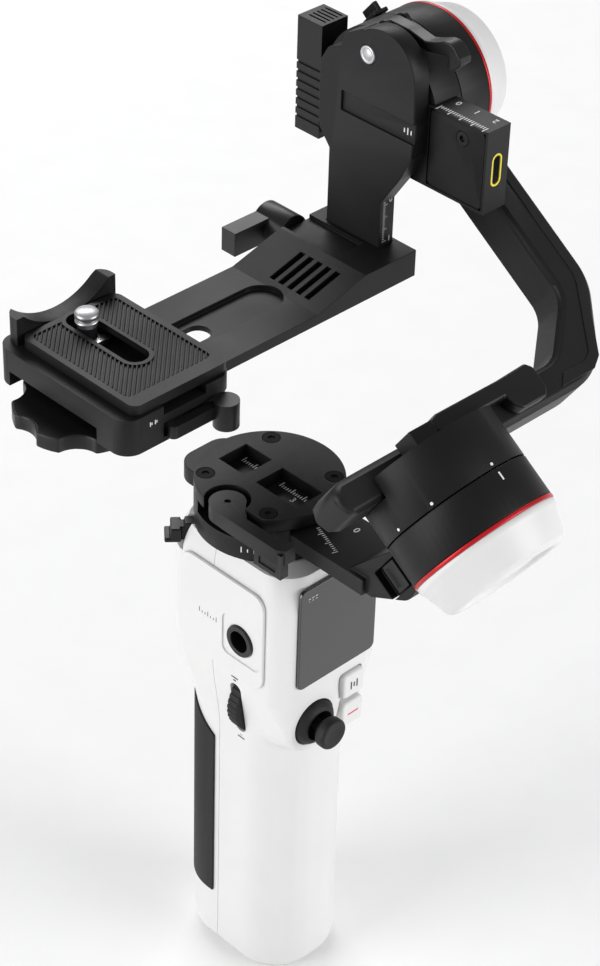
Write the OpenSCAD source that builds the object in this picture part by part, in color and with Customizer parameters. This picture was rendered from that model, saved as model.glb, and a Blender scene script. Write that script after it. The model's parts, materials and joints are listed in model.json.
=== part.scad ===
// Three-axis handheld camera gimbal: a white battery grip, a pan motor in its head,
// a sliding pan arm, an inclined roll motor, a bent roll arm, a tilt motor and a camera stage.
// The origin is the mouth of the tripod socket, on the pan axis. +X is the user's right,
// +Y is the way the lens looks, +Z is up. Millimetres.

/* [Grip] */
// Width of the grip, side to side
grip_w = 32; // [30:0.5:34]
// Depth of the grip, user side to trigger side
grip_d = 42; // [40:0.5:44]
// Corner radius of the grip
grip_r = 14; // [10:0.5:15]
// Height where the grip starts to widen into the head
grip_top = 88; // [84:1:90]
// Wall thickness of the grip shells
wall = 2; // [1.6:0.1:2.4]

/* [Head] */
// Width of the head
head_w = 38; // [37:0.5:40]
// Depth of the head
head_d = 48; // [47:0.5:50]
// Corner radius of the head
head_r = 8; // [6:0.5:9]
// Height of the head's flat top
head_top = 149.7; // [149:0.1:149.8]

/* [Motors] */
// Outer radius of the roll and tilt motors
motor_r = 20.3; // [20:0.1:20.5]
// Length of the roll motor housing
roll_len = 11.3; // [11:0.1:12]
// Length of the tilt motor housing
tilt_len = 10.1; // [10:0.1:10.4]
// Lean of the roll axis below the horizontal, in degrees
roll_lean = 34.4; // [33:0.1:36]
// Radius of the motor shafts
shaft_r = 4; // [3.5:0.1:4]
// Radial clearance of each shaft in its bearing
fit = 0.05; // [0.02:0.01:0.08]

/* [Pan arm] */
// Half width of the sliding pan bar
bar_half = 9.5; // [9:0.1:9.6]
// Height of the pan bar's underside
bar_z = 154; // [153.9:0.1:154.2]
// Thickness of the pan bar
bar_t = 5; // [4.6:0.1:5]

/* [Roll arm] */
// Left end of the roll bar
arm_left = -32; // [-34:0.5:-31]
// Inner face of the rising part of the arm
arm_inner = 64.4; // [64.3:0.1:65]
// Outer face of the rising part of the arm
arm_outer = 76.5; // [76:0.1:77]
// Top of the arm's section above the roll axis
arm_up = 4; // [3.8:0.1:4.1]
// Bottom of the arm's section below the roll axis
arm_down = 10; // [9.6:0.1:10.1]

/* [Camera stage] */
// Front face of the upright camera plate
plate_x = 50; // [49.5:0.1:50.5]
// Thickness of the upright camera plate
plate_t = 5.5; // [5.2:0.1:5.5]
// Height of the top of the base box
box_top = 208.3; // [208:0.1:209]
// Underside of the base plate
base_z = 200.4; // [200:0.1:200.6]
// Radius of a 1/4 inch thread
quarter_r = 3.175; // [3.1:0.005:3.25]

/* [Hidden] */
$fn = 64;
eps = 0.02;
gap = 0.3;

grip_y = -1.8;
head_y = -3;
head_z = 110;
split_y = 1.2;
foot = 3;
neck_z = 108.5;
shoulder_z = 139;
crown_r = 18.9;
head_front = head_y - head_d / 2;

roll_y = -74.5;
roll_z = 184.3;
tilt_y = 19;
tilt_z = 247.6;
tilt_seam = 65.9;
tilt_pivot_z = 268.4;
pan_seat_z = 147.5;
pan_len = 15.5;
pan_motor_r = 16.4;
bearing_r = 7;

block_z = 150.2;
disc_z = 160.4;
disc_t = 3.6;
disc_r = 20.2;
lever_x = -15.6;
lock_angle = 139;

bar_a0 = 20.7;
bar_a1 = 29.8;
clamp_a1 = 26;

rail_x0 = 55.5;
rail_x1 = 64;
rail_y0 = -19.2;
rail_y1 = 40.5;
rail_z0 = 229.7;
rail_z1 = 253.7;
light_x0 = 54.4;
light_y0 = 39.7;
light_y1 = 48.9;
light_z0 = 228;
light_z1 = 261.6;

base_y0 = 4;
base_y1 = 36.6;
plate_top = 203.4;
stem_y0 = 11.6;
stem_y1 = 31.4;
pin_z = 263;
slot_y = 20.3;

qr_x0 = -52.7;
qr_x1 = -21.2;
qr_y0 = -6.3;
qr_y1 = 36.6;
qr_x = (qr_x0 + qr_x1) / 2;
qr_z = 210;
knob_x = -46.9;
clamp_w = 32.6;
clamp_y0 = -7.2;
clamp_y1 = 42.6;
clamp_ledge = 3.1;
pad_z = 213;
screw_top = 217.1;

stick_x = -8;
stick_z = 100;
button_x = 6;
wheel_y = -7.5;
wheel_z = 97.8;
port_y = -10;
port_z = 124;

black = "#1b1b1d";
satin_black = "#2a2a2d";
white = "#eeeeec";
red = "#b5121b";
steel = "#c4c6c8";
rubber = "#141414";
copper = "#b06a35";

// ---- Shared shapes ----

module rounded_rect(w, d, r) {
  square([w - 2 * r, d], center = true);
  square([w, d - 2 * r], center = true);
  for (sx = [-1, 1], sy = [-1, 1])
    translate([sx * (w / 2 - r), sy * (d / 2 - r)]) circle(r);
}

module slot_shape(length, r) {
  square([length - 2 * r, 2 * r], center = true);
  for (s = [-1, 1]) translate([s * (length / 2 - r), 0]) circle(r);
}

module tube(r_out, r_in, h) {
  difference() {
    cylinder(r = r_out, h = h);
    translate([0, 0, -1]) cylinder(r = r_in, h = h + 2);
  }
}

// Box given by its low and high corners
module block(low, high) {
  translate(low) cube(high - low);
}

// Local frame of the roll axis: Y runs up the axis away from the cap, Z is square to it
module roll_frame() {
  translate([0, roll_y, roll_z]) rotate([roll_lean, 0, 0]) children();
}

// Motor seats: local Z = 0 is the housing's face towards the rotor, the housing lies below
module pan_seat() {
  translate([0, 0, pan_seat_z]) children();
}

module roll_seat() {
  roll_frame() translate([0, roll_len, 0]) rotate([-90, 0, 0]) children();
}

module tilt_seat() {
  translate([tilt_seam, tilt_y, tilt_z]) rotate([0, -90, 0]) children();
}

// ---- Motor parts, the same in all three motors ----

module motor_housing(r, length) {
  difference() {
    translate([0, 0, -length]) cylinder(r = r, h = length);
    translate([0, 0, -length - 1]) cylinder(r = r - 1.5, h = length - 1);
    translate([0, 0, -3]) cylinder(r = bearing_r, h = 4);
  }
}

module motor_bearing() {
  translate([0, 0, -5]) tube(bearing_r - eps, shaft_r + fit, 4.9);
}

// Stator stack with twelve wound teeth
module motor_core(r) {
  translate([0, 0, -7.5]) tube(bearing_r + 2, bearing_r + eps, 5.4);
  for (i = [0 : 11])
    rotate([0, 0, i * 30]) {
      translate([bearing_r + 1.5, -0.9, -7]) cube([r - 5.4 - bearing_r - 1.5, 1.8, 3.4]);
      translate([r - 6.2, -2, -7]) cube([1.2, 4, 3.4]);
    }
}

// Shaft, web and magnet ring in one turning
module rotor_bell(r, length, shaft_top) {
  web_z = -length + 0.8;
  translate([0, 0, web_z]) cylinder(r = shaft_r, h = shaft_top - web_z);
  translate([0, 0, web_z]) cylinder(r = r - 2.2, h = 1);
  translate([0, 0, web_z]) tube(r - 2.2, r - 4, length - 3.6);
}

module red_ring(r, length) {
  translate([0, 0, -length - 2.2]) tube(r + 0.1, r - 3, 2.2);
}

// Tapered white cap with a shallow ring in its end face
module motor_cap(r, length) {
  top = -length - 2.2;
  translate([0, 0, top])
    rotate_extrude()
      polygon([
        [0, -6.6], [0, -8.2], [7.5, -8.2], [8.2, -7.6], [12.4, -7.6], [13.2, -9.2], [15.6, -9.2],
        [17.2, -8], [r - 0.9, -1.2], [r - 0.9, 0], [r - 2.6, 0], [r - 2.6, -1.4], [15.2, -6.6]
      ]);
}

// ---- Handle ----

module handle_solid() {
  slice = 0.1;
  translate([0, grip_y, foot]) linear_extrude(grip_top - foot)
    rounded_rect(grip_w, grip_d, grip_r);
  hull() {
    translate([0, grip_y, foot]) linear_extrude(slice) rounded_rect(grip_w, grip_d, grip_r);
    translate([0, grip_y, 1]) linear_extrude(slice)
      rounded_rect(grip_w - 1.6, grip_d - 1.6, grip_r - 0.8);
    translate([0, grip_y, 0]) linear_extrude(slice)
      rounded_rect(grip_w - 2 * foot, grip_d - 2 * foot, grip_r - foot);
  }
  hull() {
    translate([0, grip_y, grip_top - slice]) linear_extrude(slice)
      rounded_rect(grip_w, grip_d, grip_r);
    translate([0, head_y, head_z]) linear_extrude(slice) rounded_rect(head_w, head_d, head_r);
  }
  translate([0, head_y, head_z]) linear_extrude(shoulder_z - head_z)
    rounded_rect(head_w, head_d, head_r);
  // The top narrows to a round collar under the pan motor, square on the display side
  hull() {
    translate([0, head_y, shoulder_z - slice]) linear_extrude(slice)
      rounded_rect(head_w, head_d, head_r);
    translate([0, 0, head_top - slice]) linear_extrude(slice) circle(crown_r);
    translate([0, -15.5, head_top - slice]) linear_extrude(slice)
      rounded_rect(head_w - 1.6, 22, head_r - 1);
  }
}

module handle_cavity() {
  translate([0, grip_y, 11]) linear_extrude(neck_z - 11)
    rounded_rect(grip_w - 2 * wall, grip_d - 2 * wall, grip_r - wall);
  translate([0, head_y, head_z - 4]) linear_extrude(shoulder_z - head_z + 4)
    rounded_rect(head_w - 2 * wall, head_d - 2 * wall, head_r - wall);
  translate([0, 0, shoulder_z - 1]) cylinder(r = crown_r - 2.4, h = head_top - 1 - shoulder_z);
  translate([0, -13.5, shoulder_z - 1]) linear_extrude(head_top - 1 - shoulder_z)
    rounded_rect(head_w - 5, 22, head_r - 4);
}

module handle_cuts() {
  handle_cavity();
  translate([0, 0, -1]) cylinder(r = 6 + eps, h = 10 + eps);
  translate([0, 0, head_top - 4]) cylinder(r = shaft_r + 0.6, h = 6);
  rotate([0, 0, lock_angle]) block([17.3, -2.2, 141], [30, 2.2, head_top + 1]);
}

module face_cut(x, z, w, h, r, y0, y1) {
  translate([x, y1, z]) rotate([90, 0, 0]) linear_extrude(y1 - y0) rounded_rect(w, h, r);
}

module handle_user_shell() {
  color(white) difference() {
    union() {
      intersection() {
        handle_solid();
        block([-40, -60, -1], [40, split_y, 160]);
      }
      face_cut(button_x, stick_z + 1.5, 12, 25, 2.5, head_front - 0.3, -22);
      translate([stick_x, -22, stick_z]) rotate([90, 0, 0]) cylinder(r1 = 13, r2 = 8.4, h = 5);
    }
    difference() {
      handle_cuts();
      translate([stick_x, -20.4, stick_z]) rotate([90, 0, 0]) cylinder(r = 9, h = 6);
    }
    face_cut(0, 130.5, 28.8, 33.4, 2, head_front - 1, head_front + 1);
    translate([stick_x, -10, stick_z]) rotate([90, 0, 0]) cylinder(r = 7.2, h = 20);
    for (z = [106, 96])
      face_cut(button_x, z, 8.7, 8.7, 1.5, head_front - 2, -15);
    block([-24, wheel_y - 2.2, wheel_z - 9.9], [-8, wheel_y + 2.2, wheel_z + 9.9]);
    translate([-24, port_y, port_z]) rotate([0, 90, 0]) cylinder(r = 4.7 + eps, h = 12);
  }
}

module handle_trigger_shell() {
  color(white) difference() {
    intersection() {
      handle_solid();
      block([-40, split_y, -1], [40, 60, 160]);
    }
    handle_cuts();
    block([-7.5, 12, 89.5], [7.5, 30, 111.5]);
  }
}

module tripod_socket() {
  color(steel) difference() {
    cylinder(r = 6, h = 9);
    translate([0, 0, -1]) cylinder(r = quarter_r, h = 9);
  }
}

// Rubber pad wrapped round the trigger side of the grip, with a pointed top
module grip_rubber() {
  color(rubber) difference() {
    translate([0, grip_y, 20]) linear_extrude(76) difference() {
      rounded_rect(grip_w + 1.4, grip_d + 1.4, grip_r + 0.7);
      rounded_rect(grip_w + 2 * eps, grip_d + 2 * eps, grip_r + eps);
    }
    block([-30, -40, 0], [30, 3, 120]);
    block([-30, 0, grip_top - 0.5], [30, 40, 120]);
    for (s = [0, 1])
      mirror([s, 0, 0]) translate([10, 3, 80]) rotate([35, 0, 0]) block([0, -20, 0], [12, 12, 40]);
  }
}

module side_panel() {
  color(white) difference() {
    translate([-20, -3, 127.2]) rotate([0, 90, 0]) linear_extrude(1 - eps)
      rounded_rect(31.4, 32, 4);
    translate([-24, port_y, port_z]) rotate([0, 90, 0]) cylinder(r = 4.7 + eps, h = 12);
  }
}

module side_port_socket() {
  color(black) translate([-20.2, port_y, port_z]) rotate([0, 90, 0]) difference() {
    cylinder(r = 4.7, h = 9);
    translate([0, 0, -1]) cylinder(r = quarter_r, h = 9);
  }
}

module display_glass() {
  color(black) face_cut(0, 130.5, 28.6, 33.2, 1.9, head_front - 0.3, head_front + 0.9);
}

module main_board() {
  color("#1f5a35") {
    block([-13, -22.4, 112], [13, -20.8, 145]);
    block([-8, -20.8, 118], [2, -19.4, 128]);
    block([4, -20.8, 132], [10, -19.4, 138]);
  }
}

module battery_cells() {
  color("#2f6fa8")
    for (y = [-11, 7.4]) translate([0, y, 12]) cylinder(r = 9, h = 65);
}

module joystick_boot() {
  color(rubber) translate([stick_x, head_front + 0.5, stick_z]) rotate([90, 0, 0])
    rotate_extrude() polygon([[4.5, -3], [7, -3], [7, 0.3], [6.5, 1.9], [5.5, 3], [4.5, 3.3]]);
}

module joystick_ring() {
  color(steel) translate([stick_x, -20.5, stick_z]) rotate([90, 0, 0]) difference() {
    cylinder(r = 5.6, h = 1.6);
    translate([0, 0, -1]) cylinder(r = 3.6, h = 4);
  }
}

module joystick_cap() {
  color(rubber) translate([stick_x, -21, stick_z]) rotate([90, 0, 0]) {
    cylinder(r = 1.6, h = 11);
    translate([0, 0, 10.4]) rotate_extrude()
      polygon([[0, 0], [3.6, 0], [4.6, 1], [4.6, 3.4], [4, 4], [2, 3.5], [0, 3.3]]);
  }
}

module control_button(z) {
  color(white) {
    face_cut(button_x, z, 8.1, 8.1, 1.2, head_front - 1.5, head_front + 3);
    translate([button_x, head_front + 4.5, z]) rotate([90, 0, 0]) cylinder(r = 1.5, h = 1.6);
  }
}

module mode_button() {
  control_button(106);
}

module record_button() {
  control_button(96);
}

module control_wheel() {
  teeth = 36;
  color(rubber) translate([-9.6, wheel_y + 1.8, wheel_z]) rotate([90, 0, 0]) difference() {
    cylinder(r = 10.4, h = 3.6);
    for (i = [0 : teeth - 1])
      rotate([0, 0, i * 360 / teeth]) translate([10.6, 0, -1]) cylinder(r = 0.45, h = 8, $fn = 16);
    translate([0, 0, -1]) cylinder(r = 1.5, h = 8);
  }
}

module trigger() {
  color("#d9d9d9") rotate([90, 0, 90]) translate([0, 0, -6.9])
    linear_extrude(13.8) polygon([
      [17.4, 90.2], [21.4, 90.2], [24.4, 92.4], [23.4, 97], [21.6, 103], [20.9, 108.6], [17.4, 110.6]
    ]);
}

// ---- Pan axis ----

module pan_motor_housing() {
  color(satin_black) pan_seat() motor_housing(pan_motor_r, pan_len);
}

module pan_motor_core() {
  color(copper) pan_seat() motor_core(pan_motor_r);
}

module pan_bearing() {
  color(steel) pan_seat() motor_bearing();
}

module pan_rotor_bell() {
  color(steel) pan_seat() rotor_bell(pan_motor_r, pan_len, block_z - pan_seat_z);
}

// Cylinder that carries the pan bar in a slot open at the top, with a lock notch each quarter turn
module pan_clamp_block() {
  color(black) difference() {
    translate([0, 0, block_z]) cylinder(r = disc_r, h = disc_z - block_z - eps);
    block([-bar_half - 0.2, -30, bar_z - 0.15], [bar_half + 0.2, 30, disc_z + 1]);
    block([-30, -30, 156.6], [-13, 8, disc_z + 1]);
    translate([lever_x, -0.3, 156.6]) cylinder(r = 6.2, h = 6);
    for (i = [0 : 3])
      rotate([0, 0, lock_angle + i * 90]) block([17.3, -2.3, block_z - 1], [24, 2.3, 153.5]);
  }
}

module pan_disc() {
  color(black) difference() {
    translate([0, 0, disc_z]) cylinder(r = disc_r, h = disc_t);
    for (i = [0 : 3])
      rotate([0, 0, 45 + i * 90]) translate([17, 0, disc_z - 1]) {
        cylinder(r = 1.5, h = 6);
        translate([0, 0, disc_t - 0.6]) cylinder(r = 2.5, h = 4);
      }
    translate([lever_x, -0.3, disc_z - 1]) cylinder(r = 6.2, h = 6);
    block([-30, -30, disc_z - 1], [-15.2, 0, disc_z + 5]);
    block([-5, 4.6, disc_z - 1], [5, 14.4, disc_z + 5]);
    block([-5, -15, disc_z - 1], [4.6, 0, disc_z + 5]);
  }
}

module disc_screws() {
  color(steel)
    for (i = [0 : 3])
      rotate([0, 0, 45 + i * 90]) translate([17, 0, disc_z + 0.1]) {
        cylinder(r = 1.5 - eps, h = 3);
        translate([0, 0, disc_t - 0.7 + eps]) difference() {
          cylinder(r = 2.5 - eps, h = 0.55);
          translate([0, 0, 0.2]) cylinder(r = 1, h = 1, $fn = 6);
        }
      }
}

// Over-centre lever with a hooked thumb tab
module pan_clamp_lever() {
  color(satin_black) {
    translate([lever_x, -0.3, 157]) cylinder(r = 5.2, h = 6.6);
    block([-20, -24, 157], [-16.4, -0.3, 162]);
    block([-20, -26, 154.3], [-17.2, -16.5, 162]);
    block([-20, -26, 158], [-14.6, -23.4, 162]);
  }
}

// Vertical lock whose tip rises into one of the notches in the pan block
module pan_lock_slider() {
  color(satin_black) rotate([0, 0, lock_angle]) {
    block([17.7, -1.9, 141.4], [22.6, 1.9, head_top - 0.2]);
    block([22.5, -1.9, 144], [23.6, 1.9, 148.4]);
    block([23.5, -3, 144], [26.4, 3, 148.4]);
    block([26.3, -3, 144], [28, 3, 145.4]);
  }
}

// Sliding bar with the rising bracket that holds the roll motor
module pan_arm_bar() {
  color(black) difference() {
    union() {
      block([-bar_half, -44, bar_z], [bar_half, 20, bar_z + bar_t]);
      block([-7.5, -16, bar_z + bar_t - eps], [7.5, 15, disc_z - 0.2]);
      translate([0, 20, bar_z]) linear_extrude(bar_t) intersection() {
        rounded_rect(2 * bar_half, 14, 6);
        translate([-20, -1]) square([40, 20]);
      }
      hull() {
        block([-8, -46, bar_z], [8, -38, bar_z + bar_t]);
        roll_frame() translate([-8, 6.2, -27.5]) rotate([0, 90, 0])
          cylinder(r = 6.6, h = 16, $fn = 32);
        roll_frame() block([-8, 1.2, -21], [8, 11, -19]);
      }
    }
    roll_seat() translate([0, 0, -roll_len - 4]) cylinder(r = motor_r + eps, h = roll_len + 20);
    roll_frame() block([-10, 2, -34], [-5.8, 10.6, -23]);
  }
}

// ---- Roll axis ----

module roll_motor_housing() {
  color(satin_black) roll_seat() motor_housing(motor_r, roll_len);
}

module roll_motor_core() {
  color(copper) roll_seat() motor_core(motor_r);
}

module roll_bearing() {
  color(steel) roll_seat() motor_bearing();
}

module roll_red_ring() {
  color(red) roll_seat() red_ring(motor_r, roll_len);
}

module roll_motor_cap() {
  color(white) roll_seat() motor_cap(motor_r, roll_len);
}

module roll_lock_slider() {
  color(satin_black) roll_frame() {
    block([-8.4, 2.4, -29.6], [-6, 10.2, -24]);
    block([-9, 3.6, -28.6], [-8.4, 9, -27.8]);
  }
}

module roll_rotor_bell() {
  color(steel) roll_seat() rotor_bell(motor_r, roll_len, gap);
}

module roll_clamp_block() {
  color(black) roll_frame() difference() {
    union() {
      translate([0, roll_len + gap, 0]) rotate([-90, 0, 0])
        cylinder(r = motor_r, h = clamp_a1 - roll_len - gap);
      block([-9, bar_a0 + 3, arm_up + 0.5], [-1.5, bar_a1 + 0.6, 12]);
    }
    block([-30, bar_a0 - 0.15, -arm_down - 0.15], [30, clamp_a1 + 1, arm_up + 0.15]);
  }
}

module roll_clamp_lever() {
  color(satin_black) roll_frame() {
    translate([4, bar_a1 - 0.4, arm_up + 0.5]) cylinder(r = 3, h = 5);
    block([4, clamp_a1 + 0.7, arm_up + 0.5], [32, bar_a1 + 1.4, arm_up + 5]);
    block([26, 21.8, arm_up + 0.5], [38.5, bar_a1 + 2.8, arm_up + 3.4]);
  }
}

// Corner with rounded ends, filled towards the motor side
module corner_fill(x0, a0, corner_x, limb_x, corner_a, r) {
  offset(r = r) offset(delta = -r)
    polygon([[x0, a0], [corner_x, a0], [limb_x, corner_a], [limb_x, 130], [x0, 130]]);
}

// Straight bar, diagonal corner and rising limb, in the plane of the roll frame
module arm_outline() {
  difference() {
    corner_fill(0, bar_a0, 59.6, arm_outer, 45.2, 14);
    corner_fill(-1, bar_a1, 49.6, arm_inner, 43.6, 9);
  }
}

module roll_arm() {
  bend_x = 44;
  color(black) difference() {
    roll_frame() {
      translate([0, 0, -arm_down]) linear_extrude(arm_down + arm_up) intersection() {
        arm_outline();
        translate([bend_x, 0]) square([60, 120]);
      }
      block([arm_left, bar_a0, -arm_down], [bend_x + 0.5, bar_a1, arm_up]);
    }
    tilt_seat() translate([0, 0, -30]) cylinder(r = motor_r + eps, h = 30.01);
    tilt_seat() translate([0, 0, -30]) cylinder(r = motor_r + 0.1 + eps, h = 30 - tilt_len);
    tilt_seat() cylinder(r = motor_r + 0.5, h = 12);
    block([0, -30, 262], [120, 60, 320]);
  }
}

// ---- Tilt axis ----

module tilt_motor_housing() {
  color(satin_black) difference() {
    tilt_seat() motor_housing(motor_r, tilt_len);
    translate([67.6, tilt_y, tilt_z]) rotate([-50, 0, 0]) block([0, -1.3, 10], [5.4, 1.3, 30]);
  }
}

module tilt_motor_core() {
  color(copper) tilt_seat() motor_core(motor_r);
}

module tilt_bearing() {
  color(steel) tilt_seat() motor_bearing();
}

module tilt_red_ring() {
  color(red) tilt_seat() red_ring(motor_r, tilt_len);
}

module tilt_motor_cap() {
  color(white) tilt_seat() motor_cap(motor_r, tilt_len);
}

// Finned lock button on the rim of the tilt motor
module tilt_lock_slider() {
  color(satin_black) translate([0, tilt_y, tilt_z]) rotate([-50, 0, 0]) {
    block([68.2, -1, motor_r - 1.2], [71, 1, motor_r + 0.4]);
    block([67.4, -3, motor_r + 0.3], [72.4, 3, motor_r + 1.5]);
    block([69, -3, motor_r + 1.5], [70.4, 3, motor_r + 4]);
  }
}

module tilt_rotor_bell() {
  color(steel) tilt_seat() rotor_bell(motor_r, tilt_len, gap);
}

module tilt_clamp_block() {
  color(black) difference() {
    union() {
      tilt_seat() translate([0, 0, gap]) cylinder(r = motor_r, h = 9.6);
      for (x = [56, 62.5]) {
        block([x, tilt_y - 2.1, tilt_z + 17], [x + 1.4, tilt_y + 2.1, tilt_pivot_z]);
        translate([x, tilt_y, tilt_pivot_z]) rotate([0, 90, 0]) cylinder(r = 2.1, h = 1.4);
      }
    }
    block([50, -20, 200], [rail_x1 + 0.15, 60, rail_z1 + 0.2]);
    translate([50, tilt_y, tilt_pivot_z]) rotate([0, 90, 0]) cylinder(r = 1.05, h = 20);
    block([57.4, 9.5, 266.2], [62.5, tilt_y + 3.2, 280]);
  }
}

module tilt_clamp_lever() {
  color(satin_black) {
    translate([57.6, tilt_y, tilt_pivot_z]) rotate([0, 90, 0]) cylinder(r = 1.9, h = 4.7);
    translate([56.1, tilt_y, tilt_pivot_z]) rotate([0, 90, 0]) cylinder(r = 1, h = 7.6);
    translate([57.6, 0, 0]) rotate([90, 0, 90]) linear_extrude(4.7) polygon([
      [tilt_y, 267], [tilt_y, 270.2], [12, 270], [6.4, 268.8], [0, 271.6], [-3.2, 271.6], [-6.4, 268],
      [-6, 266.2], [-2.8, 263.2], [-1.4, 264.4], [-2, 267.6], [5.6, 265.9], [12, 267]
    ]);
  }
}

// ---- Sliding camera rail ----

module tilt_rail() {
  ribs = 7;
  color(black) difference() {
    union() {
      block([rail_x0, rail_y0, rail_z0], [rail_x1, rail_y1, rail_z1]);
      block([light_x0, light_y0, light_z0], [rail_x1, light_y1, light_z1]);
    }
    block([rail_x0 - 1, rail_y0 + 0.8, rail_z0 + 0.8], [rail_x0 + 1.4, 1, rail_z1 - 0.8]);
    block([57, rail_y0 + 0.6, rail_z0 + 1.6], [62.6, rail_y0 + 12, rail_z1 - 1.6]);
    translate([59.8, rail_y0 - 1, 241.5]) rotate([0, 90, 90]) linear_extrude(9)
      slot_shape(9.7, 2);
    translate([50, -10.5, 248.5]) rotate([0, 90, 0]) cylinder(r = 0.9, h = 13);
    for (i = [0 : ribs - 1])
      block([light_x0 - 1, light_y0 - 1, 231.6 + i * 2.7], [light_x0 + 0.5, 60, 232.4 + i * 2.7]);
    for (i = [0 : 4])
      block([light_x0 + 2 + i * 1.5, light_y0 + 1, light_z1 - 0.4], [light_x0 + 2.6 + i * 1.5, 47, 270]);
    block([55.6, light_y1 - 1.2, 230.4], [62.8, 60, 259.2]);
  }
}

module rail_cover() {
  color(black) difference() {
    translate([rail_x0 + 0.1, (rail_y0 + 1.8) / 2, (rail_z0 + rail_z1) / 2]) rotate([0, 90, 0])
      linear_extrude(1.3 - eps)
        rounded_rect(rail_z1 - rail_z0 - 1.8, -rail_y0 - 0.2, 1.5);
    translate([50, -10.5, 248.5]) rotate([0, 90, 0]) cylinder(r = 2.1, h = 13);
  }
}

module rail_screw() {
  color(satin_black) translate([rail_x0 + 0.1, -10.5, 248.5]) rotate([0, 90, 0]) difference() {
    union() {
      cylinder(r = 2, h = 1.25);
      cylinder(r = 0.85, h = 5);
    }
    translate([0, 0, -0.1]) cylinder(r = 1, h = 0.8, $fn = 6);
  }
}

// USB-C socket shell with its tongue
module control_port() {
  color("#c8a250") translate([59.8, rail_y0 + 0.05, 241.5]) rotate([0, 90, 90]) {
    difference() {
      linear_extrude(7) slot_shape(9.6, 1.95);
      translate([0, 0, -1]) linear_extrude(7.2) slot_shape(8.94, 1.63);
    }
    block([-3.3, -0.35, 0.9], [3.3, 0.35, 6.6]);
  }
}

module fill_light_lens() {
  color("#f2e9c8") block([55.7, light_y1 - 1.15, 230.5], [62.7, light_y1 + 0.3, 259.1]);
}

// Upright plate: stem, widened head and round top
module plate_outline() {
  translate([13.6, 259.7]) circle(11.8);
  polygon([
    [stem_y0, 199.5], [stem_y1, 199.5], [stem_y1, 230.6], [35, 235], [35.8, 238], [35.8, 255],
    [33.1, 259.7], [28.6, 261.7], [27.1, 266], [21.2, 269.4], [13.6, 264], [1.8, 259.7], [1.3, 248],
    [1.7, 239.3], [5.1, 231.9], [stem_y0, 222]
  ]);
}

module camera_plate() {
  color(satin_black) difference() {
    translate([plate_x, 0, 0]) rotate([90, 0, 90]) linear_extrude(plate_t) plate_outline();
    block([plate_x - 1, -20, 243.5], [plate_x + 0.8, 27.5, 249.3]);
    translate([plate_x - 1, tilt_y - 0.3, pin_z]) rotate([0, 90, 0]) cylinder(r = 2.6 + eps, h = 20);
  }
}

module plate_pin() {
  color(steel) translate([plate_x - 0.3, tilt_y - 0.3, pin_z]) rotate([0, 90, 0])
    cylinder(r = 2.6, h = plate_t);
}

// ---- Base and quick release ----

module base_plate() {
  ribs = 5;
  rib_pitch = 3.3;
  left = -53.4;
  color(satin_black) difference() {
    translate([0, base_y1, 0]) rotate([90, 0, 0]) linear_extrude(base_y1 - base_y0) polygon([
      [left, base_z], [56.8, base_z], [56.8, box_top], [37.6, box_top], [20, plate_top],
      [left, plate_top]
    ]);
    block([plate_x - 0.15, stem_y0 - 0.15, 190], [plate_x + plate_t + 0.15, stem_y1 + 0.15, 220]);
    block([38.9, 16, box_top - 1.2], [plate_x - 1.4, base_y1 + 1, box_top + 1]);
    translate([-16, slot_y, plate_top - 1.4]) linear_extrude(8) slot_shape(74, 6);
    translate([-27.45, slot_y, 190]) linear_extrude(20) slot_shape(46.9, 3.4);
    for (i = [0 : ribs - 1])
      translate([29, 11 + i * rib_pitch, plate_top + 0.6]) rotate([0, -15.6, 0])
        block([-6, -0.9, 0], [6, 0.9, 8]);
    translate([43, base_y1 - 4, 204.4]) rotate([-90, 0, 0]) cylinder(r = 2 + fit, h = 8);
  }
}

module wing_knob() {
  color(satin_black) translate([43, base_y1 + gap, 204.4]) rotate([-90, 0, 0]) {
    translate([0, 0, -4]) cylinder(r = 2, h = 5);
    cylinder(r = 5.2, h = 11);
    block([-16.5, -3.6, 5.6], [0, 3.6, 11]);
  }
}

// Clamp body with its skirt, front lip and the two jaws that hold the plate
module qr_clamp() {
  color(black) difference() {
    intersection() {
      union() {
        translate([qr_x - clamp_ledge / 2, (clamp_y0 + clamp_y1) / 2, 199.4])
          linear_extrude(qr_z - 0.15 - 199.4)
            rounded_rect(clamp_w + clamp_ledge, clamp_y1 - clamp_y0, 5);
        translate([qr_x, (clamp_y0 + clamp_y1) / 2, 205]) linear_extrude(12.6)
          rounded_rect(clamp_w, clamp_y1 - clamp_y0, 4);
      }
      union() {
        block([-60, clamp_y0, plate_top + gap], [0, clamp_y1, qr_z - 0.15]);
        block([-60, clamp_y0, 199], [0, base_y0 - 0.4, plate_top + 1]);
        block([-60, base_y1 + 0.4, 199], [0, clamp_y1, plate_top + 1]);
        block([-60, qr_y1 + 0.6, qr_z - 1], [0, clamp_y1, 218]);
      }
    }
    translate([qr_x, qr_y1 + 0.4, 231.9]) rotate([-90, 0, 0]) cylinder(r = 20, h = 10);
    block([qr_x - 7, qr_y0 - 2, qr_z - 2.6], [qr_x + 7, qr_y1 - 2, qr_z + 1]);
    translate([knob_x, slot_y, 195]) cylinder(r = 3 + fit, h = 12.4);
    block([-44, qr_y0 - 2, 200.8], [-24, qr_y0 + 0.6, 205]);
  }
}

module clamp_wheel() {
  lobes = 7;
  color(satin_black) translate([knob_x, slot_y, 0]) {
    translate([0, 0, 191]) cylinder(r = 3, h = 16);
    difference() {
      translate([0, 0, 194.6]) cylinder(r = 17.6, h = 4.5);
      for (i = [0 : lobes - 1])
        rotate([0, 0, 20 + i * 360 / lobes]) translate([21.5, 0, 190]) cylinder(r = 6.4, h = 12);
    }
    translate([0, 0, 190.6]) cylinder(r = 9.6, h = 4.4);
  }
}

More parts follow.
